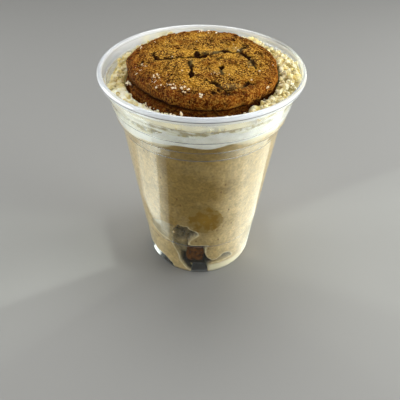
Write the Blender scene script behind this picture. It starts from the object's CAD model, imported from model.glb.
"""Banana pudding in a clear plastic cup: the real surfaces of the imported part.

Lengths are in millimetres and turned into metres as each mesh is made. +Z is up and the
origin is the middle of the cup's foot. Azimuths are in degrees, seen from above: 0 is the
front (-Y) and 90 the right-hand side (+X). A place on the wall is (azimuth, height).
"""

import math
import random

import bpy
import numpy as np
from bpy.props import FloatProperty, FloatVectorProperty, IntProperty, PointerProperty
from mathutils import Matrix, Vector, noise


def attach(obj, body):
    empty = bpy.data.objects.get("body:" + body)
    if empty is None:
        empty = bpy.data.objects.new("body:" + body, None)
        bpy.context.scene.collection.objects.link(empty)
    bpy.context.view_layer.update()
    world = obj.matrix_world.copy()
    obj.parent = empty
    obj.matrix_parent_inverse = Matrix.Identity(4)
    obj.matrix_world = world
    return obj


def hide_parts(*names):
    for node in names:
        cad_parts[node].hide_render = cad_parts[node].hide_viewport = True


bl_info = {
    "name": "Banana pudding cup",
    "version": (1, 0, 0),
    "blender": (4, 5, 0),
    "location": "3D View > Sidebar > Pudding",
    "description": "Dresses the packed cup in plastic, pudding, cream, crumbs and cookies",
    "category": "Add Mesh",
}

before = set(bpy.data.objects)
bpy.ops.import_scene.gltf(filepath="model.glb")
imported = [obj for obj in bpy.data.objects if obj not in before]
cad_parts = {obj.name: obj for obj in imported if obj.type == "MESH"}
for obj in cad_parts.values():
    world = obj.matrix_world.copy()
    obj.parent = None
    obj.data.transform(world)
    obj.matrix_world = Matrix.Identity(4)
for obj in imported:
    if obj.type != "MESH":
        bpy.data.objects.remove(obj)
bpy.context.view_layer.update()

MM = 0.001

# Cup, as in the part's source
CUP_HEIGHT = 115.0
RIM_RADIUS = 49.15
BEAD_HALF_WIDTH = 1.25
BEAD_HALF_HEIGHT = 1.9
WALL = 0.6
WALL_TOP = 110.6  # where the wall goes over into the bead
FLOOR_HEIGHT = 5.2
FLOOR_RADIUS = 24.6
FOOT_FLAT = (26.6, 28.2)
# The outer surface from the bead down to the foot: radius, height, rounding
OUTSIDE = (
    (46.75, 111.0, 0.3), (46.0, 110.2, 0.4), (45.8, 109.4, 0.6), (46.05, 108.4, 0.6),
    (44.1, 100.6, 0.4), (44.1, 99.9, 0.3), (43.5, 99.2, 0.4),
    (42.65, 94.6, 0.4), (42.65, 94.0, 0.3), (42.1, 93.3, 0.4),
    (40.5, 89.0, 0.4), (40.45, 88.4, 0.3), (39.95, 87.6, 0.4),
    (32.2, 25.7, 0.4), (32.15, 25.1, 0.3), (31.85, 24.4, 0.4),
    (29.3, 2.6, 1.2), (28.2, 0.0, 0.8),
)
# Creases of the wall, each with its height and how dark it shows
CREASES = ((99.3, 0.9), (93.35, 1.0), (87.65, 1.0), (24.5, 0.6))
# Ribs with air behind them: their heights, the air's depth and half its height
RIBS = (99.5, 93.7, 88.1)
RIB_AIR = 0.25
RIB_HALF_WIDTH = 0.3
INTO_WALL = 0.33  # how far inside the outer surface the filling's face lies, within the wall

# Layers: heights at the wall, all the way round
PUDDING_TOP = ((-180, 97.0), (-90, 95.4), (-45, 94.8), (-29, 96.0), (-10, 97.4), (5, 96.2),
               (19, 98.0), (37, 98.2), (54, 97.2), (90, 97.4))
CRUMB_FLOOR = ((-180, 104.0), (-90, 100.6), (-45, 99.0), (-32, 100.4), (-20, 103.6),
               (-4, 102.8), (11, 105.4), (26, 103.6), (60, 104.4), (90, 105.0))
CRUMB_TOP = ((-180, 111.2), (-140, 110.4), (-122, 108.6), (-90, 107.0), (-60, 107.8),
             (-30, 108.2), (0, 106.6), (25, 107.4), (50, 109.6), (80, 112.6), (95, 113.0),
             (110, 112.0), (127, 111.0), (150, 111.2))
# Heights in the cup's middle, and the hollow in the crumbs that holds the cookies
PUDDING_MIDDLE = 96.4
CREAM_MIDDLE = 100.2
RECESS_MIDDLE = (0.0, -0.7)
RECESS_RADIUS = 37.4
RECESS_FLOOR = 102.6
# Where crumbs are pressed against the wall: middle, half sizes and how plainly they show
PRESSED = ((-33.5, 102.9, 11.0, 1.3, 1.3), (-8.2, 104.9, 4.2, 1.1, 1.3),
           (0.5, 105.2, 4.0, 1.2, 0.9), (-22.0, 106.4, 14.0, 0.9, 0.7),
           (14.0, 106.2, 9.0, 1.2, 0.7), (34.0, 106.0, 10.0, 1.1, 0.6),
           (68.0, 107.5, 18.0, 1.6, 0.6), (110.0, 107.5, 20.0, 1.8, 0.7),
           (155.0, 107.0, 20.0, 1.8, 0.6), (-155.0, 107.0, 22.0, 1.8, 0.7),
           (-108.0, 104.5, 18.0, 1.6, 0.6), (-66.0, 104.0, 12.0, 1.2, 0.6))
# Heaps of stray crumbs beside the cookies: middle, foot, top, spread and number
STRAYS = ((-8.4, -39.2, 107.2, 112.0, 0.9, 0.4, 60),
          (-12.2, -38.8, 107.4, 111.0, 1.9, 0.5, 80),
          (20.0, -34.8, 108.0, 110.0, 1.5, 0.5, 16),
          (29.5, -25.2, 108.8, 111.6, 1.3, 1.0, 40),
          (-33.8, -9.6, 108.6, 110.6, 1.1, 0.5, 14),
          (-27.0, -28.5, 107.6, 108.4, 4.0, 1.4, 40))

# Cookies
COOKIE_THICKNESS = 7.5
LOWER_COOKIE = (-0.3, -0.9, 103.0)
UPPER_COOKIE = (0.6, -0.5, 110.9)
# Their radius at each azimuth
LOWER_OUTLINE = ((-180, 35.8), (-120, 36.0), (-100, 36.4), (-85, 35.9), (-68, 34.9),
                 (-48, 34.6), (-33, 35.0), (-15, 36.0), (0, 36.7), (60, 36.2), (120, 35.8))
UPPER_OUTLINE = ((-180, 37.0), (-150, 36.4), (-128, 35.6), (-112, 36.6), (-97, 36.7),
                 (-84, 36.0), (-70, 34.6), (-54, 33.3), (-36, 33.6), (-20, 35.0), (-4, 36.2),
                 (15, 36.8), (55, 36.4), (90, 35.3), (132, 35.4), (155, 36.9))
# Open cracks of the upper cookie, each a line over its face
CRACKS = (
    ((-24, 6), (-22, -1), (-12, 2), (-2, 2), (8, 9), (16, 8), (20, 14)),
    ((18, 8), (23, -1), (24, -8)),
    ((-3, 9), (-3, 2)),
    ((-6, -2), (-5, -17)),
    ((8, -7), (9, -14)),
    ((4, -22), (9, -28), (15, -27), (22, -22)),
)
# Deep pits in the upper cookie's face, and its browner swellings with their half sizes
PITS = ((-3.8, 11.2), (0.7, 7.0), (-2.7, 5.0), (-23.5, 6.8), (8.4, -8.1), (-5.7, -15.1),
        (4.3, 21.3), (15.0, 22.4), (19.7, 16.5), (5.6, -23.6), (6.7, -29.0), (9.9, -30.0),
        (4.1, -30.2), (19.4, -21.7), (23.0, -5.4), (22.1, 4.0), (20.1, 5.1), (-17.0, -9.5),
        (-12.5, 12.0), (12.5, -20.0), (27.0, 8.0), (-28.0, -3.0), (1.5, -20.5))
SWELLS = ((-22.0, -5.6, 4.6, 3.4), (2.5, -15.9, 4.6, 4.0), (2.8, -3.1, 4.0, 3.0),
          (14.0, -2.2, 5.0, 3.6), (-10.0, -29.5, 6.0, 3.6), (18.5, -21.7, 5.0, 3.6),
          (-30.0, 4.0, 4.0, 12.0), (12.0, 24.0, 9.0, 4.0), (-10.0, 20.0, 7.0, 4.0))
# Where flour and pale crumbs lie on the upper cookie: middle, half width and half height
DUST = ((16.0, 12.0, 6.0, 2.4), (-5.4, -1.5, 1.7, 4.0), (22.0, -3.5, 2.0, 4.0),
        (5.0, 8.0, 6.0, 1.8), (8.0, -12.0, 4.0, 2.0), (14.0, -25.0, 7.0, 2.0))
# Places of the larger sugar grains on the upper cookie's face, and a crumb or two beside it
GRAINS = ((-20.2, -16.6), (-19.4, -25.8), (-11.8, -26.0), (-12.6, -28.8), (-20.7, -22.4),
          (-7.7, -28.4), (-0.8, -33.6), (5.7, -14.8), (3.3, 32.6), (-1.0, 32.0), (28.8, -22.6),
          (-28.8, -12.2), (-26.3, -6.9), (-6.8, -30.6), (-14.6, -25.0), (-30.4, 12.5),
          (-21.0, -19.8), (17.0, 11.0))

# What shows low down through the wall
BANANA_RADIUS = 10.3
BANANA_THICKNESS = 6.5
BANANA_MIDDLE = (2.7, -30.7, 46.5)
PIECE_SIZE = (10.4, 5.6, 12.6)
PIECE_MIDDLE = (-2.2, -25.8, 15.9)
# The big air pocket at the wall, round its edge
HOLLOW = (
    (-24.8, 35.7), (-22.4, 38.7), (-18.8, 40.8), (-15.4, 40.7), (-10.9, 40.4), (-9.0, 38.5),
    (-4.5, 37.7), (-1.9, 36.1), (-1.2, 34.5), (-3.2, 33.1), (-6.6, 31.1), (-9.5, 28.3),
    (-11.1, 25.6), (-8.0, 25.3), (5.8, 25.5), (8.0, 25.2), (6.6, 24.3), (6.0, 21.7),
    (6.3, 17.8), (8.7, 14.2), (13.6, 11.6), (18.5, 11.5), (22.3, 13.4), (26.0, 15.8),
    (32.4, 14.8), (35.8, 12.7), (37.4, 10.7), (35.6, 10.1), (29.1, 9.5), (20.5, 9.0),
    (12.3, 9.1), (9.9, 8.0), (9.7, -6.0), (-9.2, -6.0), (-9.0, 1.5), (-14.1, 4.0),
    (-17.2, 6.5), (-20.6, 9.8), (-21.6, 15.0), (-24.4, 18.9), (-27.4, 23.2), (-26.6, 28.6),
    (-25.4, 32.0),
)
# The empty left-hand side of the foot
EMPTY_FOOT = (
    (-92.0, -6.0), (-88.0, 4.0), (-76.0, 8.0), (-64.0, 9.2), (-51.3, 8.7), (-39.4, 7.8),
    (-32.8, 4.8), (-30.3, 2.4), (-29.5, -6.0),
)
# The lip of a fold of pudding that runs up to the left from the pocket
FOLD = ((-27.4, 23.2), (-31.0, 25.6), (-37.7, 26.4), (-44.0, 27.6), (-52.0, 31.0))
# The rest of the outline of the part above that lip, which lies a little deeper
ABOVE_FOLD = ((-52.0, 36.0), (-36.0, 40.0), (-24.0, 40.0), (-25.0, 28.0))

# Reflector cards flat on the floor. The wide one is seen as a reflection in the wall: the
# azimuth of each edge, how much it covers there, its glow near the cup and further out, and
# where the one turns into the other. The dark one lies under the foot, and the small one
# makes the glint at the foot's left.
WALL_CARD = (
    (-112, 0, 0.1, 0.5, 66), (-98, 1, 0.1, 0.55, 62), (-66, 1, 0.1, 1.1, 54),
    (-62, 1, 0.1, 0.4, 50), (-50, 1, 0.1, 0.3, 46), (-46, 1, 0.03, 0.03, 46),
    (22, 1, 0.03, 0.03, 46), (44, 1, 0.3, 0.3, 46), (66, 1, 0.8, 0.8, 46),
    (84, 1, 0.5, 0.75, 46), (106, 1, 0.3, 0.75, 46), (118, 0, 0.3, 0.75, 46),
)
FOOT_CARD = tuple((azimuth, cover, 0.01, 0.01, 20) for azimuth, cover in (
    (-42, 0), (-30, 1), (-10, 1), (10, 1), (30, 1), (42, 0)))
GLINT_CARD = tuple((azimuth, cover, 0.8, 0.8, 33) for azimuth, cover in (
    (-74, 0), (-71, 1), (-58, 1), (-54, 0)))

# Place in metres and angles in degrees of the camera, with its sensor and lens in
# millimetres, and what the lamps point at
CAMERA_PLACE = (0.0, -0.2201, 0.220)
CAMERA_DOWN = 40.716
CAMERA_ROLL = 0.783
SENSOR = 36.0
LENS = 45.0
LIGHT_TARGET = (0, 0, 0.07)


def linear(code):
    """An sRGB hex colour as linear red, green and blue."""
    parts = [int(code[place:place + 2], 16) / 255 for place in (0, 2, 4)]
    return [part / 12.92 if part <= 0.04045 else ((part + 0.055) / 1.055) ** 2.4
            for part in parts]


def colour(name, description, code):
    return FloatVectorProperty(name=name, description=description, subtype="COLOR", size=3,
                               min=0.0, max=1.0, default=linear(code))


def length(name, description, millimetres):
    return FloatProperty(name=name, description=description, default=millimetres * MM,
                         min=0.0, unit="LENGTH", precision=5)


def power(name, description, watts):
    return FloatProperty(name=name, description=description, default=watts, min=0.0,
                         unit="POWER")


class CupSettings(bpy.types.PropertyGroup):
    tint: colour("Tint", "Colour of light that has passed through the plastic", "F5F9FC")
    haze: FloatProperty(name="Haze", description="How white the rolled rim is", default=0.88,
                        min=0.0, max=1.0)
    crease: colour("Crease", "The plastic in the creases under the rim and the ribs", "2A2010")
    columns: IntProperty(name="Columns", description="Faces round the cup", default=288, min=24)


class PuddingSettings(bpy.types.PropertyGroup):
    pale: colour("Pale", "Banana pudding where it is smooth", "CFB57E")
    deep: colour("Deep", "Banana pudding where it is riper", "95783A")
    speck: colour("Speck", "Flecks of banana in the pudding", "6A4418")
    shade: colour("Shade", "Wet pudding inside the air pockets", "261A06")
    hollow: length("Pocket depth", "How far the air pockets go in from the wall", 5.0)


class CreamSettings(bpy.types.PropertyGroup):
    cream: colour("Cream", "Whipped cream", "FCF8E6")
    shadow: colour("Shadow", "Whipped cream in its folds", "E2DCC8")


class CrumbSettings(bpy.types.PropertyGroup):
    ivory: colour("Ivory", "Palest cake crumbs", "FFF8D6")
    yellow: colour("Yellow", "Yellow cake crumbs", "F4DE90")
    crust: colour("Crust", "Crumbs from the cake's crust", "BA9E58")
    smallest: length("Smallest", "Radius of the smallest crumb", 0.35)
    largest: length("Largest", "Radius of the largest crumb", 1.9)
    density: FloatProperty(name="Density", description="Crumbs on each square millimetre",
                           default=0.6, min=0.0)
    seed: IntProperty(name="Seed", description="Seed of the scatter", default=5)


class CookieSettings(bpy.types.PropertyGroup):
    gold: colour("Gold", "Baked face of the cookie", "AC7418")
    crisp: colour("Crisp", "Crisp crumbs on the face", "F4C054")
    brown: colour("Brown", "Darker parts of the face", "804008")
    burnt: colour("Burnt", "Cracks and pits", "2E1606")
    red: colour("Rim", "Red-brown of the rim and of the lower cookie", "7E3808")
    flour: colour("Flour", "Pale dust on the face", "A48E5A")
    sugar: colour("Sugar", "Sugar and pale crumbs on the face", "FFF2D2")
    crackle: length("Crackle", "Depth of the fine cracks", 0.6)


class FoodPieceSettings(bpy.types.PropertyGroup):
    banana: colour("Banana", "Banana slice in syrup", "8A6614")
    core: colour("Core", "Middle of the banana slice", "A47C1E")
    smear: colour("Smear", "Pudding over the edge of the banana slice", "967A3C")
    soaked: colour("Soaked", "Cookie soaked through", "8A500A")


class StageSettings(bpy.types.PropertyGroup):
    floor: colour("Floor", "Plain pale floor", "939390")
    sides: power("Side lights", "Power of each side light", 6.8)
    top: power("Top light", "Power of the light overhead", 4.4)
    front: power("Front light", "Power of the light in front", 3.3)
    cards: FloatProperty(name="Cards", description="Brightness of the reflector cards",
                         default=2.6, min=0.0)


# Meshes


def around(anchors, azimuth):
    """Value at an azimuth, eased between the anchors and closed round the circle."""
    first = anchors[0][0]
    azimuth = (azimuth - first) % 360 + first
    closed = anchors + ((first + 360, anchors[0][1]),)
    for (start, low), (end, high) in zip(closed, closed[1:]):
        if azimuth <= end:
            ease = (1 - math.cos(math.pi * (azimuth - start) / (end - start))) / 2
            return low + (high - low) * ease
    return anchors[0][1]


def rounded(corners, steps=4):
    """A line through (x, y, rounding) corners, with each corner drawn as a short curve."""
    line = []
    for number, (x, y, rounding) in enumerate(corners):
        corner = Vector((x, y))
        if number in (0, len(corners) - 1) or rounding == 0:
            line.append(tuple(corner))
            continue
        arms = []
        for other in (corners[number - 1], corners[number + 1]):
            arm = Vector(other[:2]) - corner
            arms.append(corner + arm * min(0.45, rounding / arm.length))
        for step in range(steps + 1):
            share = step / steps
            point = arms[0].lerp(corner, share).lerp(corner.lerp(arms[1], share), share)
            line.append(tuple(point))
    return line


OUTER = rounded(OUTSIDE)


def outer_radius(height):
    """The cup's outer surface below the bead, at a height or an array of heights."""
    radii, heights = zip(*reversed(OUTER))
    return np.interp(height, heights, radii)


def face_radius(height):
    """Where the face of a filling lies, just inside the wall's thickness. It stops short
    of the ribs, where air stays behind in a fine line."""
    short = sum(RIB_AIR * np.exp(-((height - rib) / RIB_HALF_WIDTH) ** 2) for rib in RIBS)
    return outer_radius(height) - INTO_WALL - short


def on_circle(azimuth, radius, height):
    angle = math.radians(azimuth)
    return Vector((radius * math.sin(angle), -radius * math.cos(angle), height))


def add_object(name, mesh, finish):
    mesh.materials.clear()
    mesh.materials.append(finish)
    made = bpy.data.objects.new(name, mesh)
    bpy.context.scene.collection.objects.link(made)
    return made


def dress(made, slot, *nodes):
    """Let a piece ride with the cup, in a finish of the record, in place of its nodes."""
    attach(made, "root")
    if nodes:
        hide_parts(*nodes)


def shell(name, rings, marks):
    """A closed smooth mesh in metres from rings of points in millimetres, top to bottom,
    closed by a point in the middle of the first and of the last. Marks are attributes of
    one number for each point of the rings."""
    rings = np.asarray(rings, dtype=float)
    rows, columns, _ = rings.shape
    ends = [rings[0].mean(axis=0), rings[-1].mean(axis=0)]
    points = np.vstack([rings.reshape(-1, 3), ends]) * MM
    first, last, foot = rows * columns, rows * columns + 1, (rows - 1) * columns
    pairs = [(column, (column + 1) % columns) for column in range(columns)]
    faces = [face for column, after in pairs
             for face in ((first, column, after), (last, foot + after, foot + column))]
    faces += [(row + column, row + columns + column, row + columns + after, row + after)
              for row in range(0, foot, columns) for column, after in pairs]
    mesh = bpy.data.meshes.new(name)
    mesh.from_pydata(points.tolist(), [], faces)
    for key, values in marks.items():
        values = np.asarray(values, dtype=np.float32)
        values = np.append(values.ravel(), [values[0].mean(), values[-1].mean()])
        mesh.attributes.new(key, "FLOAT", "POINT").data.foreach_set(
            "value", values.astype(np.float32))
    mesh.update()
    mesh.shade_smooth()
    return mesh


def add_piece(name, rings, marks, finish, slot, *nodes):
    """Make a dressed piece from rings and marks."""
    dress(add_object(name, shell(name, rings, marks), finish), slot, *nodes)


def edge_distance(azimuths, heights, outline):
    """Distance in millimetres, along the wall, from places to a closed outline: positive
    inside it."""
    across = np.radians(azimuths) * outer_radius(heights)
    corners = [(math.radians(azimuth) * outer_radius(height), height)
               for azimuth, height in outline]
    nearest = np.full(across.shape, np.inf)
    inside = np.zeros(across.shape, dtype=bool)
    for (x0, y0), (x1, y1) in zip(corners, corners[1:] + corners[:1]):
        run_x, run_y = x1 - x0, y1 - y0
        along = ((across - x0) * run_x + (heights - y0) * run_y) / (run_x ** 2 + run_y ** 2)
        along = np.clip(along, 0, 1)
        away = np.hypot(across - x0 - along * run_x, heights - y0 - along * run_y)
        nearest = np.minimum(nearest, away)
        if y0 != y1:
            inside ^= ((y0 > heights) != (y1 > heights)) & (
                across < x0 + (heights - y0) * run_x / run_y)
    return np.where(inside, nearest, -nearest)


def line_distance(azimuths, heights, line):
    """Distance in millimetres, along the wall, from places to an open line."""
    there_and_back = tuple(line) + tuple(reversed(line[1:-1]))
    return np.abs(edge_distance(azimuths, heights, there_and_back))


def eased(low, high, values):
    share = np.clip((values - low) / (high - low), 0, 1)
    return share * share * (3 - 2 * share)


def between(start, full, fading, end, values):
    """1 from full to fading, eased to 0 at start and at end."""
    return eased(start, full, values) * (1 - eased(fading, end, values))


def hills(x, y, places):
    """The highest of some soft mounds at a point, each with its middle, its half sizes and,
    where it isn't 1, its height."""
    return max(math.prod(height) * math.exp(-((x - a) / w) ** 2 - ((y - b) / h) ** 2)
               for a, b, w, h, *height in places)


def rough(points, size, seed):
    """Noise between -1 and 1 at each point of an array, with lumps of a size."""
    shift = Vector((seed * 17.3, seed * 5.1, seed * 9.7))
    values = [noise.noise(Vector(point) / size + shift) for point in points.tolist()]
    return np.array(values)


# Materials


def add(tree, kind, values=None, **settings):
    """Add a node, set its settings, and fill or link its inputs by name or number. A node
    as a value stands for its first output in use, and a colour is made opaque."""
    made = tree.nodes.new(kind if "Node" in kind else "ShaderNode" + kind)
    for key, value in settings.items():
        setattr(made, key, value)
    for key, value in (values or {}).items():
        if isinstance(value, bpy.types.Node):
            value = next(socket for socket in value.outputs if socket.enabled)
        if isinstance(value, bpy.types.NodeSocket):
            tree.links.new(value, made.inputs[key])
        elif made.inputs[key].type == "RGBA":
            made.inputs[key].default_value = (*value, 1.0)
        else:
            made.inputs[key].default_value = value
    return made


def new_finish(name, *marks):
    """An empty material's tree, its Object coordinates in metres and its attributes."""
    finish = bpy.data.materials.new(name)
    finish.use_nodes = True
    tree = finish.node_tree
    tree.nodes.clear()
    place = add(tree, "TexCoord").outputs["Object"]
    return finish, place, *(add(tree, "Attribute", attribute_name=mark).outputs["Fac"]
                            for mark in marks)


def lumps(place, millimetres, detail=2.0, roughness=0.55, distortion=0.0):
    """Inputs of a noise whose lumps are about this far apart."""
    return {"Vector": place, "Scale": 1 / (millimetres * MM), "Detail": detail,
            "Roughness": roughness, "Distortion": distortion}


def layered(tree, tone, *layers):
    """Lay colours over a tone. A layer is its colour, what drives it, the range of that,
    the share of colour at both ends of the range and, at times, a factor for the share."""
    for code, drive, low, high, least, most, *factor in layers:
        share = add(tree, "MapRange", {"Value": drive, 1: low, 2: high, 3: least, 4: most})
        if factor:
            share = add(tree, "Math", {0: share, 1: factor[0]}, operation="MULTIPLY")
        tone = add(tree, "Mix", {0: share, 6: tone, 7: code}, data_type="RGBA")
    return tone


def coated(finish, tone, roughness, values, relief=None, strength=0.0, depth=0.0):
    """End a material with an opaque surface of this tone, with a relief in millimetres."""
    tree = finish.node_tree
    values = {"Base Color": tone, "Roughness": roughness, "Subsurface Scale": MM, **values}
    if relief:
        values["Normal"] = add(tree, "Bump", {"Height": relief, "Strength": strength,
                                              "Distance": depth * MM})
    add(tree, "OutputMaterial", {"Surface": add(tree, "BsdfPrincipled", values)})
    return finish


def clear_plastic(settings):
    """PET sheet, thermoformed: glass-clear and glossy, a little wavy from the mould. Light
    from lamps and from the food goes straight through it."""
    finish, place, haze, crease, smear = new_finish("clear_PET_thermoformed", "haze",
                                                    "crease", "smear")
    tree = finish.node_tree
    waves = add(tree, "TexNoise", lumps(place, 7.0, 1.0))
    bump = add(tree, "Bump", {"Height": waves, "Strength": 0.2, "Distance": 0.12 * MM})
    body = add(tree, "Mix", {0: crease, 6: settings.tint, 7: settings.crease},
               data_type="RGBA")
    milky, dark, rubbed = (
        add(tree, "MapRange", {"Value": mark, 3: least, 4: most}) for mark, least, most in (
            (haze, 1.0, 1.0 - settings.haze), (crease, 1.0, 0.15), (crease, 0.05, 0.2)))
    clear = add(tree, "Math", {0: milky, 1: dark}, operation="MULTIPLY")
    shader = add(tree, "BsdfPrincipled", {
        "Base Color": body, "Roughness": rubbed, "IOR": 1.57, "Transmission Weight": clear,
        "Normal": bump})
    lit_film = add(tree, "BsdfTranslucent", {"Color": linear("FFF9CE")})
    film = add(tree, "BsdfDiffuse", {"Color": linear("FDF3CB")})
    film = add(tree, "MixShader", {0: 0.35, 1: lit_film, 2: film})
    through = add(tree, "BsdfTransparent", {"Color": settings.tint})
    path = add(tree, "LightPath").outputs
    for share, over in ((smear, film), (path["Is Shadow Ray"], through),
                        (path["Is Diffuse Ray"], through)):
        shader = add(tree, "MixShader", {0: share, 1: shader, 2: over})
    add(tree, "OutputMaterial", {"Surface": shader})
    return finish


def banana_pudding(settings):
    """Cooked custard with mashed banana: creamy and a little translucent, cloudy, with
    brown flecks 0.3 to 1 mm across; wet and dull inside its air pockets."""
    finish, place, zone, depth, lip = new_finish("banana_pudding_cooked", "ripe", "hollow",
                                                 "lip")
    tree = finish.node_tree
    clouds, mashed, curds, mottle = (
        add(tree, "TexNoise", lumps(place, *size)) for size in (
            (16.0, 4.0), (4.5, 3.0, 0.6), (1.3, 2.0, 0.6), (1.6, 3.0, 0.7)))
    cloudy = add(tree, "MapRange", {"Value": clouds, 1: 0.3, 2: 0.7, 3: -0.3, 4: 0.3})
    ripe = add(tree, "Math", {0: zone, 1: cloudy}, operation="ADD", use_clamp=True)
    tone = add(tree, "Mix", {0: ripe, 6: settings.pale, 7: settings.deep}, data_type="RGBA")
    for texture, least, most in ((mashed, 0.84, 1.14), (curds, 0.78, 1.22)):
        shade = add(tree, "MapRange", {"Value": texture, 1: 0.3, 2: 0.7, 3: least, 4: most})
        tone = add(tree, "VectorMath", {0: tone, "Scale": shade}, operation="SCALE")
    turned = add(tree, "Mapping", {"Vector": place, "Rotation": (0.5, 0.4, 0.6),
                                   "Scale": (1.0, 1.0, 0.55)})
    cells = add(tree, "TexVoronoi", {"Vector": turned, "Scale": 1 / (2.7 * MM)})
    pick = add(tree, "SeparateColor", {"Color": cells.outputs["Color"]})
    some = add(tree, "MapRange", {"Value": pick, 1: 0.4, 2: 0.95, 3: 0.0, 4: 0.85})
    stain = add(tree, "MapRange", {"Value": mottle, 1: 0.3, 2: 0.7, 3: 0.62, 4: 1.08})
    tone = layered(tree, tone,
                   (settings.speck, cells, 0.08, 0.24, 1.0, 0.0, some),
                   (settings.shade, depth, 0.0, 2.0, 0.0, 2.0, stain),
                   (linear("F6EBC5"), lip, 0.0, 1.0, 0.0, 1.0))
    return coated(finish, tone, 0.42, {
        "Subsurface Weight": 0.2, "Subsurface Radius": (2.2, 1.4, 0.6)}, mottle, 0.3, 0.3)


def whipped_cream(settings):
    """Whipped dairy cream: near white, soft and matt, with faint folds."""
    finish, place = new_finish("whipped_cream_piped")
    folds = add(finish.node_tree, "TexNoise", lumps(place, 5.0, 4.0, 0.6))
    tone = layered(finish.node_tree, settings.cream,
                   (settings.shadow, folds, 0.4, 0.75, 0.0, 1.0))
    return coated(finish, tone, 0.55, {
        "Subsurface Weight": 0.25, "Subsurface Radius": (2.0, 1.7, 1.3)}, folds, 0.4, 0.6)


def cake_crumb(settings, pressed):
    """Vanilla cake rubbed to crumbs: dry, matt and open, ivory to yellow, a few bits brown
    from the crust, damp at the left. Pressed against the wall, cream shows between them."""
    finish, place = new_finish("cake_crumb_pressed" if pressed else "cake_crumb_rubbed")
    tree = finish.node_tree
    bits = add(tree, "TexVoronoi", {"Vector": place, "Scale": 1 / (2.2 * MM)})
    pick = add(tree, "SeparateColor", {"Color": bits.outputs["Color"]}).outputs
    grit = add(tree, "TexNoise", lumps(place, 0.7, 3.0, 0.7))
    side = add(tree, "SeparateXYZ", {"Vector": place})
    tone = layered(tree, settings.ivory,
                   (settings.yellow, pick[0], 0.0, 1.0, 0.0, 1.0),
                   (settings.crust, pick[1], 0.82, 0.95, 0.0, 0.6),
                   (settings.crust, grit, 0.3, 0.5, 0.4, 0.0),
                   (linear("B49A56"), side, -30 * MM, -38 * MM, 0.0, 0.4))
    if pressed:
        wet = add(tree, "Mix", {0: 0.85, 6: tone, 7: linear("A08E4C")}, data_type="RGBA")
        flat = add(tree, "Mapping", {"Vector": place, "Scale": (0.4, 0.4, 1.6)})
        streaks = add(tree, "TexNoise", lumps(flat, 2.6, 4.0, 0.7))
        cream = layered(tree, linear("ECE3B8"),
                        (linear("FFFDE7"), streaks, 0.36, 0.6, 0.0, 1.0))
        smear = add(tree, "Attribute", attribute_name="smear").outputs["Fac"]
        tone = add(tree, "Mix", {0: smear, 6: wet, 7: cream}, data_type="RGBA")
    return coated(finish, tone, 0.85, {
        "Subsurface Weight": 0.15, "Subsurface Radius": (1.6, 1.2, 0.6)}, grit, 0.7, 0.4)


def ginger_cookie(settings, name):
    """Ginger cookie: a crackled, coarse baked face, golden on its bumps and near black in
    its pits and cracks, browner to the rim."""
    finish, place, rim, pit, dust = new_finish(name, "rim", "pit", "dust")
    tree = finish.node_tree
    toast, grain, fine = (add(tree, "TexNoise", lumps(place, *size)) for size in (
        (6.0, 4.0, 0.65), (2.3, 4.0, 0.72, 1.6), (0.8, 2.0, 0.6, 0.8)))
    # Crisp bits are sparser towards the rim, and dark ones stand in patches
    crisp = add(tree, "Math", {0: rim, 1: -0.72, 2: 1.0}, operation="MULTIPLY_ADD")
    patches = add(tree, "MapRange", {"Value": toast, 1: 0.42, 2: 0.58, 3: 0.2, 4: 1.0})
    tone = layered(tree, settings.gold,
                   (settings.brown, toast, 0.44, 0.55, 0.0, 1.0),
                   (settings.red, rim, 0.0, 1.0, 0.0, 1.0),
                   (settings.crisp, grain, 0.52, 0.62, 0.0, 0.8, crisp),
                   (linear("48200A"), grain, 0.49, 0.40, 0.0, 0.9, patches),
                   (settings.burnt, fine, 0.48, 0.43, 0.0, 1.0, patches),
                   (settings.crisp, fine, 0.54, 0.58, 0.0, 1.0, crisp),
                   (settings.burnt, pit, 0.0, 1.0, 0.0, 1.0),
                   (settings.flour, dust, 0.1, 1.0, 0.0, 0.7))
    relief = add(tree, "Math", {0: grain, 1: 1.6, 2: fine}, operation="MULTIPLY_ADD")
    return coated(finish, tone, 0.75, {"Specular IOR Level": 0.05}, relief, 1.0, 0.6)


def soaked_cookie(settings):
    """Ginger cookie soaked in pudding: wet, soft and red-brown, darker in its cells."""
    finish, place = new_finish("ginger_cookie_soaked")
    cells = add(finish.node_tree, "TexNoise", lumps(place, 2.2, 4.0, 0.7))
    tone = layered(finish.node_tree, linear("2E1604"),
                   (settings.soaked, cells, 0.35, 0.62, 0.0, 1.0))
    return coated(finish, tone, 0.4, {"Specular IOR Level": 0.2}, cells, 0.6, 0.6)


def banana_flesh(settings):
    """Ripe banana, cut across and steeped: golden, with a darker seed ring of 3 mm, and
    pudding over its edge."""
    finish, place = new_finish("banana_slice_steeped")
    tree = finish.node_tree
    x, _, z = BANANA_MIDDLE
    centred = add(tree, "Mapping", {"Vector": place, "Location": (-x * MM, 0.0, -z * MM),
                                    "Scale": (1, 0, 1)})
    away = add(tree, "VectorMath", {0: centred}, operation="LENGTH")
    streak = add(tree, "TexNoise", lumps(place, 3.0, 4.0, 0.6))
    ragged = add(tree, "Math", {0: streak, 1: 36 * MM, 2: -18 * MM}, operation="MULTIPLY_ADD")
    reach = add(tree, "Math", {0: away, 1: ragged}, operation="ADD")
    tone = layered(tree, settings.banana,
                   (settings.core, away, 2 * MM, 5 * MM, 1.0, 0.0, streak),
                   (settings.smear, reach, 4.5 * MM, 8.5 * MM, 0.0, 1.0))
    return coated(finish, tone, 0.4, {"Subsurface Weight": 0.2,
                                      "Subsurface Radius": (2.0, 1.2, 0.4)})


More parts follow.
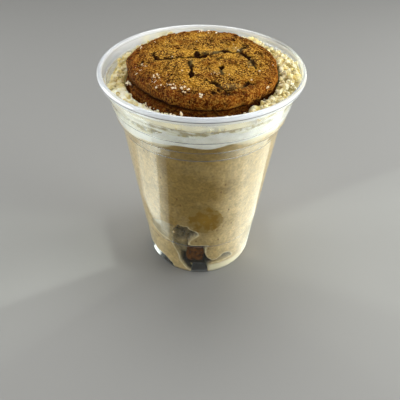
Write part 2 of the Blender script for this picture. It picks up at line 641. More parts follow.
def sugar_bits(settings):
    """Coarse sugar and stray crumbs: off-white, with a little glint."""
    finish, place = new_finish("sugar_coarse")
    cloudy = add(finish.node_tree, "TexNoise", lumps(place, 2.5, 1.0))
    tone = layered(finish.node_tree, settings.sugar,
                   (linear("E8CFA0"), cloudy, 0.4, 0.7, 0.0, 1.0))
    return coated(finish, tone, 0.3, {})


def laminate(settings):
    """Satin laminate, pale and plain, with the faintest mottle."""
    finish, place = new_finish("satin_laminate")
    mottle = add(finish.node_tree, "TexNoise", lumps(place, 60.0, 3.0))
    tone = layered(finish.node_tree, settings.floor,
                   (linear("8F8F8B"), mottle, 0.0, 1.0, 0.0, 0.12))
    return coated(finish, tone, 0.65, {})


# Operators


class PUDDING_OT_cup(bpy.types.Operator):
    """Make the clear cup with its rolled rim, ribs and raised floor"""

    bl_idname = "pudding.cup"
    bl_label = "Cup"

    def execute(self, context):
        settings = context.scene.pudding_cup
        bead_x, bead_z = RIM_RADIUS - BEAD_HALF_WIDTH, CUP_HEIGHT - BEAD_HALF_HEIGHT
        bead = [(bead_x + BEAD_HALF_WIDTH * math.cos(turn),
                 bead_z + BEAD_HALF_HEIGHT * math.sin(turn))
                for turn in np.radians(np.linspace(180, -70, 26))]
        inside = [(radius - WALL, height) for radius, height in reversed(OUTER)
                  if WALL + 1.0 < height < WALL_TOP]
        flat_inner, flat_outer = FOOT_FLAT
        floor = rounded([
            (3.0, FLOOR_HEIGHT, 0), (FLOOR_RADIUS, FLOOR_HEIGHT, 0.8),
            (flat_inner + 0.3, WALL, 0.5), (flat_outer - 0.2, WALL, 0.5),
            (*inside[0], 0)])[:-1]
        foot = rounded([
            (*OUTER[-1], 0), (flat_inner, 0.0, 0.5), (24.0, FLOOR_HEIGHT - WALL, 0.8),
            (3.0, FLOOR_HEIGHT - WALL, 0)])
        section = floor + inside + bead + OUTER[:-1] + foot
        azimuths = np.linspace(-180, 180, settings.columns, endpoint=False)
        rings = [[on_circle(azimuth, *point) for azimuth in azimuths] for point in section]
        streaks = np.array([0.85 + 0.9 * noise.noise(on_circle(azimuth, 6.0, 2.0))
                            for azimuth in azimuths])
        marks = {"haze": [], "crease": [], "smear": []}
        for number, (radius, height) in enumerate(section):
            lining = number - len(floor) - len(inside)
            outside = lining - len(bead)
            dark = 0.0
            if number < len(floor) or radius > RIM_RADIUS - 0.01:
                dark = 1.0
            elif outside in (-1, 0):
                dark = 0.4
            elif outside > 0:
                dark = sum(depth * math.exp(-((height - low) / 0.3) ** 2)
                           for low, depth in CREASES)
                dark = min(1.0, 1.3 * max(0.0, dark - 0.15))
            marks["crease"].append(np.full(len(azimuths), dark))
            share = 0.3 * eased(103, 108, height)
            if height > 111.2:
                turn = math.atan2((height - bead_z) / BEAD_HALF_HEIGHT,
                                  (radius - bead_x) / BEAD_HALF_WIDTH)
                # The roll is whitest along its outer shoulder and its inner edge
                share = 0.6 + 0.4 * math.exp(-((turn - 0.5) / 0.35) ** 2)
                share += 0.6 * math.exp(-((abs(turn) - 2.6) / 0.3) ** 2)
            elif lining <= 0:
                share += 0.9 * math.exp(-((height - 109.6) / 0.5) ** 2)
            else:
                share += 0.35 * math.exp(-((height - 2.2) / 0.3) ** 2)
            # Cream that was wiped off hazes the wall at the back left
            wiped = 0.3 * (height > 103) * (lining <= 0)
            share = share + wiped * (1 - eased(-120, -95, azimuths))
            share = share * (1 - 0.42 * between(30, 60, 120, 150, azimuths))
            marks["haze"].append(np.minimum(1.0, share))
            # A film of cream and crumbs was left on the inside, above the filling
            film = between(104.0, 108.0, 112.6, 114.2, height)
            film *= outside < 0 and radius < bead_x - 0.3
            front = 0.8 * between(-72, -48, 50, 75, azimuths) * (height < 110.7)
            back = 0.8 * between(-164, -154, -142, -132, azimuths)
            marks["smear"].append(film * streaks * (back + front))
        add_piece("clear_cup", rings, marks, clear_plastic(settings), "clear_plastic", "cup")
        return {"FINISHED"}


def wall_columns(start, end, fine, coarse):
    """Azimuths round the cup, close together from start to end and wider elsewhere."""
    near = np.arange(start, end, fine)
    count = max(1, round((360 - (end - start)) / coarse))
    return np.append(near, end + np.arange(count) * (360 - (end - start)) / count)


class PUDDING_OT_pudding(bpy.types.Operator):
    """Make the pudding, with the air pockets and folds that show through the wall"""

    bl_idname = "pudding.pudding"
    bl_label = "Pudding"

    def execute(self, context):
        settings = context.scene.pudding_pudding
        # Columns stand close together where the pockets show
        azimuths = (wall_columns(-95.0, 50.0, 0.75, 2.5) + 180) % 360 - 180
        top = np.array([around(PUDDING_TOP, azimuth) for azimuth in azimuths])
        circle = np.array([on_circle(azimuth, 1.0, 0.0) for azimuth in azimuths])

        def laid(radii, heights):
            return radii[..., None] * circle + heights[..., None] * np.array([0.0, 0.0, 1.0])

        low = 12.0  # rows below this height follow the foot
        ribbed = 86.0  # rows above this height are close together, for the ribs
        channel, floor = 0.35, FLOOR_HEIGHT - 0.3
        hole = np.maximum(*(
            eased(-0.4, 0.6, edge_distance(azimuths, np.ones_like(azimuths), outline))
            for outline in (HOLLOW, EMPTY_FOOT)))
        bottom = channel + (floor - channel) * hole
        rows = [ribbed + (top - ribbed) * share for share in np.linspace(1, 0, 32)[:-1]]
        rows += [np.full_like(top, height) for height in (
            *np.arange(ribbed, 45.0, -1.4), *np.arange(45.0, low, -0.45))]
        rows += [bottom + (low - bottom) * share for share in np.linspace(1, 0, 27)]
        heights = np.array(rows)
        places = np.broadcast_to(azimuths, heights.shape)

        radii = face_radius(heights)
        inside = edge_distance(places, heights, HOLLOW)
        empty = edge_distance(places, heights, EMPTY_FOOT)
        near = (np.abs(places) < 60) & (heights < 60)  # only the pockets' edges are lumpy
        points = laid(radii, heights)[near]
        curdled = np.zeros_like(heights)
        curdled[near] = rough(points, 2.4, 1.0) + 0.5 * rough(points, 1.0, 2.0)
        upper = eased(24.0, 28.0, heights)
        sliver = eased(9.0, 14.0, places)
        deep = settings.hollow / MM * (1 - 0.45 * upper) * (1 - 0.6 * sliver)
        film = between(12.0, 18.0, 26.0, 30.0, heights) * (1 - eased(-15.0, -10.0, places))
        deep = deep * (1 + 0.55 * curdled * upper) * (1 - 0.55 * film)
        ragged = upper * (1 - eased(-20.0, -8.0, places))
        depth = deep * eased(-0.1, 1.5, inside + (0.3 * upper + 1.5 * ragged) * curdled)
        above = edge_distance(places, heights, FOLD + ABOVE_FOLD)
        depth += 0.5 * eased(0.0, 0.8, above) * eased(-6.0, 0.0, -np.abs(above - 6.0) + 6.0)
        depth = np.maximum(depth, 6.0 * eased(-0.1, 1.6, empty))
        wave = 0.06 * curdled * (1 - eased(-1.0, 0.0, inside))
        radii = np.maximum(radii - np.maximum(depth, 0) - np.abs(wave),
                           np.minimum(radii, FLOOR_RADIUS + 0.5))

        # A pale lip runs along the edge of the pockets and of the fold
        edge = np.minimum(np.abs(inside + 0.25), np.abs(empty + 0.2))
        lip = np.exp(-(edge / 0.3) ** 2) * np.clip(0.7 + 0.9 * curdled, 0.15, 1.0)
        lip = lip * (1 - 0.75 * upper * (1 - eased(-14.0, -8.0, places)))
        fold = line_distance(places, heights, FOLD)
        lip = np.maximum(lip * 0.8, 0.6 * np.exp(-(fold / 0.35) ** 2))
        pale = between(6.0, 14.0, 40.0, 60.0, places)
        lip = np.maximum(lip, 0.9 * pale * (1 - eased(6.0, 9.0, heights)))
        # Near black by the foot, brown beside the piece and mottled in the upper lobe
        hollow = np.clip(depth / 3.0, 0, 1) * (1 - eased(-0.2, 0.6, empty))
        thin = between(22.0, 25.0, 26.0, 30.0, heights)
        hollow = hollow * (1 - 0.3 * film - 0.2 * film * thin - 0.05 * upper)
        under = (1 - eased(11.5, 14.5, heights)) * (1 - eased(12.0, 22.0, np.abs(places)))
        hollow = hollow * (1 + 0.9 * under)
        # Cream is drawn down into the pudding on both sides of the front
        drawn = np.array([noise.noise(Vector((place / 14, height / 2.0, 5)))
                          for place, height in zip(places.ravel(), heights.ravel())])
        reach = 0.5 + 3.4 * between(18, 30, 62, 80, places)
        reach = reach + 2.0 * between(-66, -50, -26, -14, places)
        drawn = np.maximum((1 + 1.2 * drawn.reshape(heights.shape)) * reach, 0.1)
        lip = np.maximum(lip, 0.9 * (1 - eased(0.0, 1.0, (top - heights) / drawn)))
        # Riper in the middle of the front and paler towards the foot and round the back
        ripe = between(-36.0, -24.0, 4.0, 36.0, places)
        ripe = ripe * (0.35 + 0.65 * eased(26.0, 46.0, heights))

        rings = [laid(share * face_radius(top),
                      PUDDING_MIDDLE + (top - PUDDING_MIDDLE) * share ** 2)
                 for share in (0.2, 0.6, 0.98)]
        rings += list(laid(radii, heights))
        rings += [laid(np.minimum(radii[-1] - 0.1, radius), bottom + (floor - bottom) * level)
                  for radius, level in ((26.8, 0.0), (FLOOR_RADIUS + 0.3, 1.0), (12.0, 1.0))]
        blank = np.zeros((3, len(azimuths)))
        marks = {key: np.vstack([blank, values, blank])
                 for key, values in (("lip", lip), ("hollow", hollow), ("ripe", ripe))}
        add_piece("banana_pudding", rings, marks, banana_pudding(settings), "banana_pudding",
                  "pudding")
        return {"FINISHED"}


class PUDDING_OT_cream(bpy.types.Operator):
    """Make the layer of whipped cream that shows as a white band"""

    bl_idname = "pudding.cream"
    bl_label = "Cream"

    def execute(self, context):
        azimuths = np.linspace(-180, 180, 240, endpoint=False)
        edges = [(azimuth, around(CRUMB_FLOOR, azimuth), around(PUDDING_TOP, azimuth))
                 for azimuth in azimuths]
        rings = [[on_circle(azimuth, share * face_radius(top), CREAM_MIDDLE
                            + (top - CREAM_MIDDLE) * max(0, (share - 0.8) / 0.2))
                  for azimuth, top, _ in edges] for share in (0.3, 0.8, 0.92)]
        for share in np.linspace(0, 1, 14):
            ring = []
            for azimuth, top, bottom in edges:
                height = top + 0.4 + (bottom - 0.2 - (top + 0.4)) * share
                height += 0.5 * noise.noise(on_circle(azimuth, 1.0, 0.0) * 5.0)
                ring.append(on_circle(azimuth, face_radius(height) + 0.02, height))
            rings.append(ring)
        for share in (0.97, 0.6, 0.2):
            rings.append([on_circle(azimuth, share * face_radius(bottom - 0.6), PUDDING_MIDDLE
                                    + (bottom - 0.6 - PUDDING_MIDDLE) * share ** 2)
                          for azimuth, _, bottom in edges])
        finish = whipped_cream(context.scene.pudding_cream)
        add_piece("whipped_cream", rings, {}, finish, "whipped_cream", "cream")
        return {"FINISHED"}


def inner_limit(height):
    """As far out as a crumb can reach at a height."""
    return np.where(height < WALL_TOP, face_radius(np.minimum(height, WALL_TOP)),
                    np.interp(height, (WALL_TOP, 111.4, 113.0, 115.0, 125.0),
                              (45.9, 46.3, 46.55, 47.2, 49.0)))


def crumb_bed(azimuth, share):
    """A point on the bed of crumbs, share 0 at the cookies and 1 at the wall."""
    level = around(CRUMB_TOP, azimuth)
    hollow = math.exp(-((azimuth + 92) / 16) ** 2)
    beside = min(RECESS_RADIUS, around(LOWER_OUTLINE, azimuth) + 1.3)
    beside -= 0.5 * float(between(50, 70, 125, 145, azimuth))
    inner = on_circle(azimuth, beside, level - 0.4) + Vector((*RECESS_MIDDLE, 0))
    outer = on_circle(azimuth, float(inner_limit(level)), level - 0.5 - 2.6 * hollow)
    point = inner.lerp(outer, share)
    arch = math.sin(math.pi * min(1, share + 0.15))
    point.z += 2.0 * math.sin(math.pi * share) * (0.2 + noise.noise(point * 0.3))
    point.z += (1.3 * noise.noise(point * 0.55) + 0.8 * noise.noise(point * 1.1)) * arch
    return point


def scatter_group(name, on_faces):
    """Geometry nodes that scatter broken bits, over faces or on given points, each bent to
    a shape of its own."""
    group = bpy.data.node_groups.new(name, "GeometryNodeTree")
    for label, kind, default in (
            ("Geometry", "Geometry", None), ("Density", "Float", 1.0),
            ("Smallest", "Float", 0.001), ("Largest", "Float", 0.002),
            ("Raggedness", "Float", 0.5), ("Seed", "Int", 0), ("Detail", "Int", 2),
            ("Lift", "Float", 0.0), ("Finish", "Material", None)):
        socket = group.interface.new_socket(label, in_out="INPUT",
                                            socket_type="NodeSocket" + kind)
        if default is not None:
            socket.default_value = default
    group.interface.new_socket("Geometry", in_out="OUTPUT", socket_type="NodeSocketGeometry")
    given = add(group, "NodeGroupInput").outputs
    if on_faces:
        points = add(group, "GeometryNodeDistributePointsOnFaces", {
            "Mesh": given["Geometry"], "Density": given["Density"], "Seed": given["Seed"]})
    else:
        points = add(group, "GeometryNodeMeshToPoints", {"Mesh": given["Geometry"]})
    rise, drawn = (
        add(group, "FunctionNodeRandomValue", {2: 0.0, 3: 1.0, "Seed": seed},
            data_type="FLOAT") for seed in (7, given["Seed"]))
    turn, shape = (
        add(group, "FunctionNodeRandomValue", {0: low, 1: high, "Seed": given["Seed"]},
            data_type="FLOAT_VECTOR") for low, high in (
                ((0, 0, 0), (6.28, 6.28, 6.28)), ((0.7, 0.7, 0.55), (1.25, 1.25, 1.0))))
    height = add(group, "Math", {0: rise, 1: given["Lift"]}, operation="MULTIPLY")
    upward = add(group, "CombineXYZ", {2: height})
    points = add(group, "GeometryNodeSetPosition", {"Geometry": points, "Offset": upward})
    bit = add(group, "GeometryNodeMeshIcoSphere", {"Radius": 1.0,
                                                   "Subdivisions": given["Detail"]})
    # Many small bits and few large ones
    few = add(group, "Math", {0: drawn, 1: 2.2}, operation="POWER")
    size = add(group, "MapRange", {"Value": few, 3: given["Smallest"], 4: given["Largest"]})
    scale = add(group, "VectorMath", {0: shape, "Scale": size}, operation="SCALE")
    placed = add(group, "GeometryNodeInstanceOnPoints", {
        "Points": points, "Instance": bit, "Rotation": turn, "Scale": scale})
    whole = add(group, "GeometryNodeRealizeInstances", {0: placed})
    place = add(group, "GeometryNodeInputPosition")
    bend = add(group, "TexNoise", {"Vector": place, "Scale": 700.0, "Detail": 3.0,
                                   "Roughness": 0.65})
    centred = add(group, "VectorMath", {0: bend.outputs["Color"], 1: (0.5, 0.5, 0.5)},
                  operation="SUBTRACT")
    reach = add(group, "Math", {0: given["Raggedness"], 1: given["Largest"]},
                operation="MULTIPLY")
    shift = add(group, "VectorMath", {0: centred, "Scale": reach}, operation="SCALE")
    bent = add(group, "GeometryNodeSetPosition", {"Geometry": whole, "Offset": shift})
    done = add(group, "GeometryNodeSetMaterial", {"Geometry": bent,
                                                  "Material": given["Finish"]})
    add(group, "NodeGroupOutput", {0: done})
    return group


def scattered(name, slot, points, faces, values):
    """A plain object of bits scattered over faces, or on the points where there are none."""
    base = bpy.data.meshes.new(name + "_bed")
    base.from_pydata(points, [], faces)
    seedling = bpy.data.objects.new(name + "_bed", base)
    bpy.context.scene.collection.objects.link(seedling)
    modifier = seedling.modifiers.new("scatter", "NODES")
    modifier.node_group = scatter_group(name + "_scatter", bool(faces))
    for item in modifier.node_group.interface.items_tree:
        if item.item_type == "SOCKET" and item.in_out == "INPUT" and item.name in values:
            modifier[item.identifier] = values[item.name]
    graph = bpy.context.evaluated_depsgraph_get()
    mesh = bpy.data.meshes.new_from_object(seedling.evaluated_get(graph))
    seedling.modifiers.clear()
    bpy.data.objects.remove(seedling)
    bpy.data.meshes.remove(base)
    mesh.name = name
    made = add_object(name, mesh, values["Finish"])
    dress(made, slot)
    return made


def keep_inside(mesh):
    """Flatten against the wall whatever reaches past it."""
    points = np.empty(len(mesh.vertices) * 3)
    mesh.vertices.foreach_get("co", points)
    points = points.reshape(-1, 3)
    out = np.hypot(points[:, 0], points[:, 1])
    most = inner_limit(points[:, 2] / MM) * MM
    points[:, :2] *= np.minimum(1.0, most / np.maximum(out, 1e-6))[:, None]
    mesh.vertices.foreach_set("co", points.ravel())
    mesh.update()


class PUDDING_OT_crumbs(bpy.types.Operator):
    """Make the bed of cake crumbs round the cookies and scatter loose crumbs over it"""

    bl_idname = "pudding.crumbs"
    bl_label = "Crumbs"

    def execute(self, context):
        settings = context.scene.pudding_crumbs
        azimuths = np.linspace(-180, 180, 300, endpoint=False)
        columns = len(azimuths)
        rings = [[on_circle(azimuth, radius, RECESS_FLOOR) + Vector((*RECESS_MIDDLE, 0))
                  for azimuth in azimuths] for radius in (20.0, RECESS_RADIUS - 0.4)]
        bed = [[crumb_bed(azimuth, share) for azimuth in azimuths]
               for share in np.linspace(0, 1, 13)]
        wander = 9 * np.array([noise.noise(on_circle(azimuth, 8.0, 3.0))
                               for azimuth in azimuths])
        bare = between(-84.0, -70.0, -40.0, -22.0, azimuths + wander)
        rings += bed
        smears = [[0.0] * columns] * 2 + [bare.tolist()] * len(bed)
        for share in np.linspace(0.06, 1, 16):
            ring, smear = [], []
            for azimuth, edge in zip(azimuths, bed[-1]):
                lower = around(CRUMB_FLOOR, azimuth) - 0.2
                height = edge.z + (lower - edge.z) * share
                limit = float(inner_limit(height))
                point = on_circle(azimuth, limit, height)
                gap = noise.noise(point * 0.55) + 0.5 * noise.noise(point * 1.3)
                inset = max(0.0, gap - 0.12) * 3.0
                streak = noise.noise(Vector((point.x / 7, point.y / 7, height / 2.5)))
                shown = hills(azimuth + 5 * streak, height + 1.2 * streak, PRESSED)
                shown *= 1.0 + 1.4 * noise.noise(point * 0.8)
                smear.append(1 - float(eased(0.05, 0.5, shown)))
                ring.append(on_circle(azimuth, limit + 0.03 - inset * (1 - smear[-1]), height))
            rings.append(ring)
            smears.append(smear)
        reach = 44  # of the bed's underside, on the cream
        for share in (0.9, 0.4):
            rings.append([on_circle(azimuth, share * reach, CREAM_MIDDLE + 0.3)
                          for azimuth in azimuths])
            smears.append([1.0] * columns)
        add_piece("crumb_bed", rings, {"smear": smears}, cake_crumb(settings, True),
                  "cake_crumb", "crumbs")

        draw = random.Random(settings.seed)
        faces = []
        for row in range(0, (len(bed) - 2) * columns, columns):
            for column in range(columns):
                if draw.random() < 0.9 * bare[column]:
                    continue
                after = (column + 1) % columns
                faces.append((row + column, row + columns + column, row + columns + after,
                              row + after))
        points = [point * MM for ring in bed[:-1] for point in ring]
        finish = cake_crumb(settings, False)
        middling = 0.5 * settings.largest
        for name, share, smallest, largest in (
                ("cake_crumbs_fine", 1.0, settings.smallest, middling),
                ("cake_crumbs_large", 0.3, middling, settings.largest)):
            crumbs = scattered(name, "cake_crumb", points, faces, {
                "Density": share * settings.density / MM ** 2, "Smallest": smallest,
                "Largest": largest, "Raggedness": 0.8, "Lift": 0.5 * largest,
                "Seed": settings.seed, "Detail": 2, "Finish": finish})
            keep_inside(crumbs.data)

        places = []
        for x, y, bottom, top, across, along, count in STRAYS:
            for _ in range(count):
                spot = Vector((x + draw.gauss(0, across), y + draw.gauss(0, along), 0))
                peak = bottom + (top - bottom) * math.exp(-((spot.x - x) / across) ** 2 / 2)
                places.append((spot + Vector((0, 0, draw.uniform(bottom, peak)))) * MM)
        scattered("cake_crumbs_stray", "cake_crumb", places, [], {
            "Smallest": 0.22 * MM, "Largest": 0.65 * MM, "Raggedness": 1.2, "Seed": 2,
            "Detail": 2, "Finish": sugar_bits(context.scene.pudding_cookies)})
        return {"FINISHED"}


def drift(place):
    """A shift of up to about 1 along each axis, the same in every run."""
    return Vector([noise.noise(place + Vector((away, 2 * away, 3 * away)))
                   for away in (17.3, 41.9, 73.1)])


def crack_depth(x, y):
    """How deep in a crack a point of the face is, up to 1."""
    point = Vector((x, y))
    point += 1.1 * Vector((noise.noise(Vector((x, y, 3)) * 0.4),
                           noise.noise(Vector((x, y, 9)) * 0.4)))
    width = 1.3 + 0.9 * noise.noise(Vector((x, y, 21)) * 0.25)
    nearest = 1.0
    for crack in CRACKS:
        for start, end in zip(crack, crack[1:]):
            run = Vector(end) - Vector(start)
            along = (point - Vector(start)).dot(run) / run.length_squared
            foot = Vector(start) + run * min(1.0, max(0.0, along))
            nearest = min(nearest, (point - foot).length / width)
    return 1 - nearest


def cookie_face(point, base, share, azimuth, left, crackle, upper):
    """Height of a point of the cookie's face, and its pit, rim and dust."""
    place = point + Vector((0, 0, base))
    # The fine cracks, the holes, the open cracks and the pits
    warped = place + 1.2 * drift(place / 3.0)
    line = 0.0
    for size, depth, part in ((4.4, 1.0, 0.25), (2.1, 0.7, 0.12)):
        distances, _ = noise.voronoi(warped / size)
        gap = max(0.0, 1 - (distances[1] - distances[0]) / 0.2)
        line += depth * gap * min(1.0, max(0.0, part + 1.9 * noise.noise(
            place / 7.0 + Vector((size, 0, 0)))))
    grain = noise.noise(place / 1.6) + 0.7 * noise.noise(place / 0.8)
    holes, _ = noise.voronoi(place / 2.3 + Vector((7, 3, 1)))
    hole = max(0.0, 1 - holes[0] / 0.36)
    hole *= noise.noise(place / 4.0 + Vector((4, 8, 2))) > 0.0
    crack = crack_depth(point.x, point.y)
    crack *= 1.15 + 0.7 * noise.noise(place / 2.2 + Vector((2, 2, 9)))
    warp = 0.9 * drift(place / 1.1)
    pitted = max(1 - math.hypot(point.x + warp.x - a, point.y + warp.y - b) / 1.3
                 for a, b in PITS)
    low = 1.5 * max(0.0, crack) + crackle * line + 0.6 * hole
    low += 1.6 * max(0.0, pitted) + 0.35 * max(0.0, -grain)

    fall = 0.10 * share ** 2 + 0.16 * share ** 12
    fall *= 1 - 0.5 * float(eased(95, 150, abs(azimuth)))
    bump = 0.5 * noise.noise(place / 6.0) + 0.75 * noise.noise(place / 2.8)
    if upper:
        swell = hills(point.x, point.y, SWELLS) * (0.8 + 0.5 * noise.noise(place / 2.6))
        height = COOKIE_THICKNESS * (1 - fall)
        height += bump + 0.5 * swell + 0.35 * max(0.0, grain) - low
        toasted = float(eased(0.68 - 0.2 * left, 0.97, share))
        dusty = hills(point.x, point.y, DUST) * (0.6 + 0.8 * noise.noise(place / 1.6))
        marks = min(1.0, low / 0.8) ** 1.4, max(toasted, 0.95 * swell), dusty
    else:
        # The lower cookie's face is deep in the seam but for its edge
        height = COOKIE_THICKNESS * (1 - 0.7 * fall) + 0.4 * bump
        marks = float(1 - eased(0.86, 0.92, share)), 1.1, 0.0
    height -= 0.3 + 0.9 * max(0.0, height - 7.0)
    return height, *marks


def cookie_mesh(name, middle, outline, crackle, rings, columns=400):
    """A cookie with a coarse crackled face, round sides and its pits as an attribute."""
    x, y, base = middle
    upper = middle == UPPER_COOKIE
    azimuths = np.linspace(-180, 180, columns, endpoint=False)
    reach = [around(outline, azimuth) + (0.8 * noise.noise(on_circle(azimuth, 5.0, base))
                                         + 0.35 * noise.noise(on_circle(azimuth, 16.0, base)))
             for azimuth in azimuths]
    lefts = np.exp(-((azimuths + 70) / 50) ** 2)  # browner on its left
    table = {"point": [], "pit": [], "rim": [], "dust": []}

    def lay(row):
        for key, values in zip(table, zip(*row)):
            table[key].append(values)

    for share in np.linspace(0.02, 0.93, rings) ** 0.92 * 0.93 ** 0.08:
        row = []
        for azimuth, radius, left in zip(azimuths, reach, lefts):
            point = on_circle(azimuth, share * radius, 0.0)
            height, *marks = cookie_face(point, base, share, azimuth, left, crackle, upper)
            row.append((point + Vector((x, y, base + height)), *marks))
        lay(row)
    # Share of the radius and of the thickness, from the face's edge to the underside. The
    # upper cookie's edge droops to meet the lower one
    corners = ([(0.93, 0.83, 0), (0.982, 0.70, 0.07), (1.0, 0.42, 0.10), (0.995, 0.08, 0.06),
                (0.965, -0.06, 0.02), (0.92, -0.07, 0.02), (0.88, 0.0, 0)] if upper else
               [(0.93, 0.87, 0), (0.985, 0.76, 0.07), (1.0, 0.45, 0.10), (0.985, 0.12, 0.06),
                (0.95, 0.0, 0.02), (0.91, 0.0, 0)])
    for share, level in rounded(corners, steps=5)[1:]:
        seam = 1 - eased(-0.02, 0.17, level) if upper else 0.5 * eased(0.70, 0.86, level)
        seam = float(seam) + 0.35 * float(1 - eased(0.0, 0.45, level))
        row = []
        for azimuth, radius, left in zip(azimuths, reach, lefts):
            point = on_circle(azimuth, share * radius, base + level * COOKIE_THICKNESS)
            grain = noise.noise(point / 1.8) + 0.6 * noise.noise(point / 0.9)
            inward = 0.30 * max(0.0, -grain) + 0.25
            point = on_circle(azimuth, share * radius - inward, point.z)
            pit = 0.9 * max(0.0, -grain - 0.1) + seam + (0.3 * left if upper else 0.16)
            row.append((point + Vector((x, y, 0)), min(1.0, pit), 0.9 if upper else 1.1, 0.0))
        lay(row)
    for share in (0.7, 0.3):
        lay([(on_circle(azimuth, share * radius, base) + Vector((x, y, 0)), 1.0, 1.0, 0.0)
             for azimuth, radius in zip(azimuths, reach)])
    return shell(name, table.pop("point"), table)


class PUDDING_OT_cookies(bpy.types.Operator):
    """Make the two ginger cookies, crackled and pitted"""

    bl_idname = "pudding.cookies"
    bl_label = "Cookies"

    def execute(self, context):
        settings = context.scene.pudding_cookies
        for name, node, slot, middle, outline, rings in (
                ("ginger_cookie_lower", "cookie_lower", "ginger_cookie_dark", LOWER_COOKIE,
                 LOWER_OUTLINE, 40),
                ("ginger_cookie_upper", "cookie_upper", "ginger_cookie", UPPER_COOKIE,
                 UPPER_OUTLINE, 110)):
            mesh = cookie_mesh(name, middle, outline, settings.crackle / MM, rings)
            finish = ginger_cookie(settings, name.replace("cookie", "cookie_baked"))
            dress(add_object(name, mesh, finish), slot, node)
        return {"FINISHED"}


class PUDDING_OT_sugar(bpy.types.Operator):
    """Scatter coarse sugar over the upper cookie"""

    bl_idname = "pudding.sugar"
    bl_label = "Sugar"

    def execute(self, context):
        cookie = bpy.data.objects["ginger_cookie_upper"]
        draw = random.Random(11)
        places = []
        in_heap, loose, face = 7, 30, 33.5  # two numbers of grains, and the face's radius
        above, lowest = 130 * MM, 112 * MM  # rays start above the cookie, and land on its face
        for x, y in GRAINS:
            for _ in range(in_heap):
                places.append((x + draw.gauss(0, 0.8), y + draw.gauss(0, 0.8)))
        for _ in range(loose):
            turn, out = draw.uniform(0, math.tau), face * math.sqrt(draw.random())
            places.append((out * math.cos(turn), out * math.sin(turn)))
        points = []
        for x, y in places:
            start = Vector((x * MM, y * MM, above))
            found, spot, _, _ = cookie.ray_cast(start, Vector((0, 0, -1)))
            if found and spot.z > lowest:
                points.append(spot + Vector((0, 0, 0.08 * MM)))
        scattered("coarse_sugar", "ginger_cookie", points, [], {
            "Smallest": 0.14 * MM, "Largest": 0.6 * MM, "Raggedness": 1.1, "Seed": 3,
            "Detail": 1, "Finish": sugar_bits(context.scene.pudding_cookies)})
        return {"FINISHED"}


class PUDDING_OT_food_pieces(bpy.types.Operator):
    """Make the banana slice and the soaked piece of cookie behind the wall"""

    bl_idname = "pudding.food_pieces"
    bl_label = "Banana and cookie piece"

    def execute(self, context):
        settings = context.scene.pudding_food_pieces
        x, _, z = BANANA_MIDDLE
        turns = np.linspace(0, math.tau, 72, endpoint=False)

        def slice_ring(share, back):
            ring = []
            for turn in turns:
                along = Vector((math.cos(turn), math.sin(turn), 4))
                out = share * BANANA_RADIUS * (1 + 0.22 * noise.noise(1.3 * along))
                across, up = out * math.cos(turn), out * math.sin(turn)
                front = -math.sqrt(float(face_radius(z + up)) ** 2 - (x + across) ** 2)
                dip = 0.12 * noise.noise(Vector((x + across, 0, z + up)) / 3.0)
                front -= 0.10 * (1 - share ** 4) + dip * share - 0.04
                ring.append((x + across, front + back, z + up))
            return ring

        rings = [slice_ring(share, 0.0) for share in np.linspace(0.06, 0.96, 14)]
        rings += [slice_ring(1.0, 0.5), slice_ring(1.0, BANANA_THICKNESS - 1.0),
                  slice_ring(0.94, BANANA_THICKNESS), slice_ring(0.4, BANANA_THICKNESS)]
        add_piece("banana_slice_steeped", rings, {}, banana_flesh(settings), "banana_slice",
                  "banana_slice")

        def squared(value):
            """Push a sine or a cosine out, from a ball to a box with round edges."""
            return math.copysign(abs(value) ** 0.35, value)

        rings = []
        for tip in np.radians(np.linspace(85, -85, 23)):
            ring = []
            for turn in turns:
                corner = Vector((squared(math.cos(turn)) * squared(math.cos(tip)),
                                 squared(math.sin(turn)) * squared(math.cos(tip)),
                                 squared(math.sin(tip))))
                point = Vector([(size - 0.6) / 2 * part for size, part in
                                zip(PIECE_SIZE, corner)])
                point = Matrix.Rotation(0.05, 3, "Y") @ point + Vector(PIECE_MIDDLE)
                bump = noise.noise(point / 2.6) + 0.5 * noise.noise(point / 1.1)
                ring.append(point + corner.normalized() * 0.55 * bump)
            rings.append(ring)
        add_piece("ginger_cookie_piece", rings, {}, soaked_cookie(settings), "wet_cookie",
                  "cookie_piece")
        return {"FINISHED"}


def card_mesh(name, edges, near, far, height):
    """A fan on the floor, with its cover and its glow as attributes."""
    points, covers, glows, faces = [], [], [], []
    for azimuth, cover, inner, outer, step in edges:
        for radius, glow in ((near, inner), (min(step, far) - 3, inner),
                             (min(step + 3, far), outer), (far, outer)):
            points.append(on_circle(azimuth, radius, height) * MM)
            covers.append(cover)
            glows.append(glow)
    for start in range(0, len(points) - 4, 4):
        for row in range(start, start + 3):
            faces.append((row, row + 1, row + 5, row + 4))
    mesh = bpy.data.meshes.new(name)
    mesh.from_pydata(points, [], faces)
    for key, values in (("cover", covers), ("glow", glows)):
        mesh.attributes.new(key, "FLOAT", "POINT").data.foreach_set("value", values)
    return mesh


def card_light(strength):
    """White and black studio card, fading to nothing at its two ends."""
    finish, _, cover, glow = new_finish("studio_card", "cover", "glow")
    tree = finish.node_tree
    bright = add(tree, "Math", {0: glow, 1: strength}, operation="MULTIPLY")
    clear = add(tree, "BsdfTransparent")
    lit = add(tree, "Emission", {"Color": linear("F7FFF5"), "Strength": bright})
    mixed = add(tree, "MixShader", {0: cover, 1: clear, 2: lit})
    add(tree, "OutputMaterial", {"Surface": mixed})
    return finish


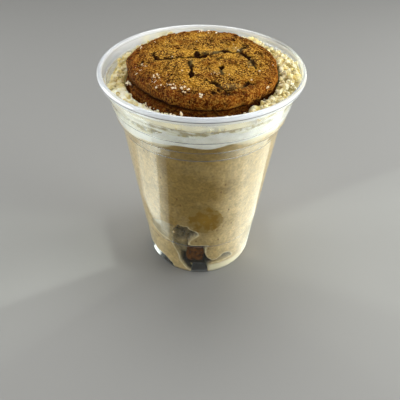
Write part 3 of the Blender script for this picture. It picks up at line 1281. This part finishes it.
class PUDDING_OT_stage(bpy.types.Operator):
    """Lay the pale floor, hang the soft lights and set the camera"""

    bl_idname = "pudding.stage"
    bl_label = "Floor, lights and camera"

    def execute(self, context):
        scene = context.scene
        settings = scene.pudding_stage
        mesh = bpy.data.meshes.new("floor")
        mesh.from_pydata([(-4, -4, 0), (4, -4, 0), (4, 4, 0), (-4, 4, 0)], [], [(0, 1, 2, 3)])
        add_object("floor", mesh, laminate(settings))

        for name, place, size, energy, mirrored in (
                ("side_light_left", (-0.66, 0.04, 0.15), (0.6, 0.26), 0.51 * settings.sides,
                 True),
                ("side_light_right", (0.66, 0.02, 0.2), (0.6, 0.36), 0.9 * settings.sides,
                 False),
                ("side_fill_right", (0.66, 0.02, 0.3), (0.6, 0.5), 0.15 * settings.sides,
                 True),
                ("top_light", (0.0, 0.25, 0.8), (0.6, 0.5), settings.top, True),
                ("front_light", (0.0, -0.9, 0.5), (0.8, 0.5), settings.front, False)):
            light = bpy.data.lights.new(name, "AREA")
            light.shape = "RECTANGLE"
            light.size, light.size_y = size
            light.energy = energy
            holder = bpy.data.objects.new(name, light)
            holder.location = place
            aim = Vector(LIGHT_TARGET) - Vector(place)
            holder.rotation_euler = aim.to_track_quat("-Z", "Y").to_euler()
            holder.visible_glossy = mirrored
            holder.visible_camera = False
            scene.collection.objects.link(holder)

        glow = card_light(settings.cards)
        for name, edges, near, far, height in (("wall_card", WALL_CARD, 29.6, 230.0, 0.4),
                                               ("glint_card", GLINT_CARD, 29.6, 32.5, 0.6),
                                               ("foot_card", FOOT_CARD, 0.5, 29.5, 0.4)):
            card = add_object(name, card_mesh(name, edges, near, far, height), glow)
            card.visible_camera = card.visible_diffuse = card.visible_shadow = False
            card.visible_volume_scatter = False

        scene.world = bpy.data.worlds.new("studio")
        scene.world.use_nodes = True
        backdrop = scene.world.node_tree.nodes["Background"].inputs
        backdrop["Color"].default_value = (*linear("C4C4C2"), 1.0)
        backdrop["Strength"].default_value = 0.12

        camera = bpy.data.cameras.new("camera")
        camera.sensor_width, camera.lens, camera.clip_start = SENSOR, LENS, 0.01
        holder = bpy.data.objects.new("camera", camera)
        scene.collection.objects.link(holder)
        holder.location = CAMERA_PLACE
        aim = Matrix.Rotation(math.radians(90 - CAMERA_DOWN), 3, "X")
        aim = aim @ Matrix.Rotation(math.radians(CAMERA_ROLL), 3, "Z")
        holder.rotation_euler = aim.to_euler()
        scene.camera = holder
        scene.view_settings.view_transform = "Standard"
        return {"FINISHED"}


class PUDDING_PT_panel(bpy.types.Panel):
    """Lists the pudding cup's pieces and their settings"""

    bl_idname = "PUDDING_PT_panel"
    bl_label = "Banana pudding cup"
    bl_space_type = "VIEW_3D"
    bl_region_type = "UI"
    bl_category = "Pudding"

    def draw(self, context):
        layout = self.layout
        for operator in OPERATORS:
            layout.operator(operator.bl_idname)
        for key, group in SETTINGS.items():
            box = layout.box()
            for name in group.__annotations__:
                box.prop(getattr(context.scene, key), name)


SETTINGS = {
    "pudding_cup": CupSettings,
    "pudding_pudding": PuddingSettings,
    "pudding_cream": CreamSettings,
    "pudding_crumbs": CrumbSettings,
    "pudding_cookies": CookieSettings,
    "pudding_food_pieces": FoodPieceSettings,
    "pudding_stage": StageSettings,
}
OPERATORS = (
    PUDDING_OT_stage, PUDDING_OT_cup, PUDDING_OT_pudding, PUDDING_OT_cream,
    PUDDING_OT_crumbs, PUDDING_OT_cookies, PUDDING_OT_sugar, PUDDING_OT_food_pieces,
)


def register():
    for group in SETTINGS.values():
        bpy.utils.register_class(group)
    for operator in OPERATORS:
        bpy.utils.register_class(operator)
    bpy.utils.register_class(PUDDING_PT_panel)
    for key, group in SETTINGS.items():
        setattr(bpy.types.Scene, key, PointerProperty(type=group))


def unregister():
    for key in SETTINGS:
        delattr(bpy.types.Scene, key)
    bpy.utils.unregister_class(PUDDING_PT_panel)
    for made in (*reversed(OPERATORS), *reversed(tuple(SETTINGS.values()))):
        bpy.utils.unregister_class(made)


def main():
    register()
    for operator in OPERATORS:
        group, name = operator.bl_idname.split(".")
        getattr(getattr(bpy.ops, group), name)()


if __name__ == "__main__":
    main()
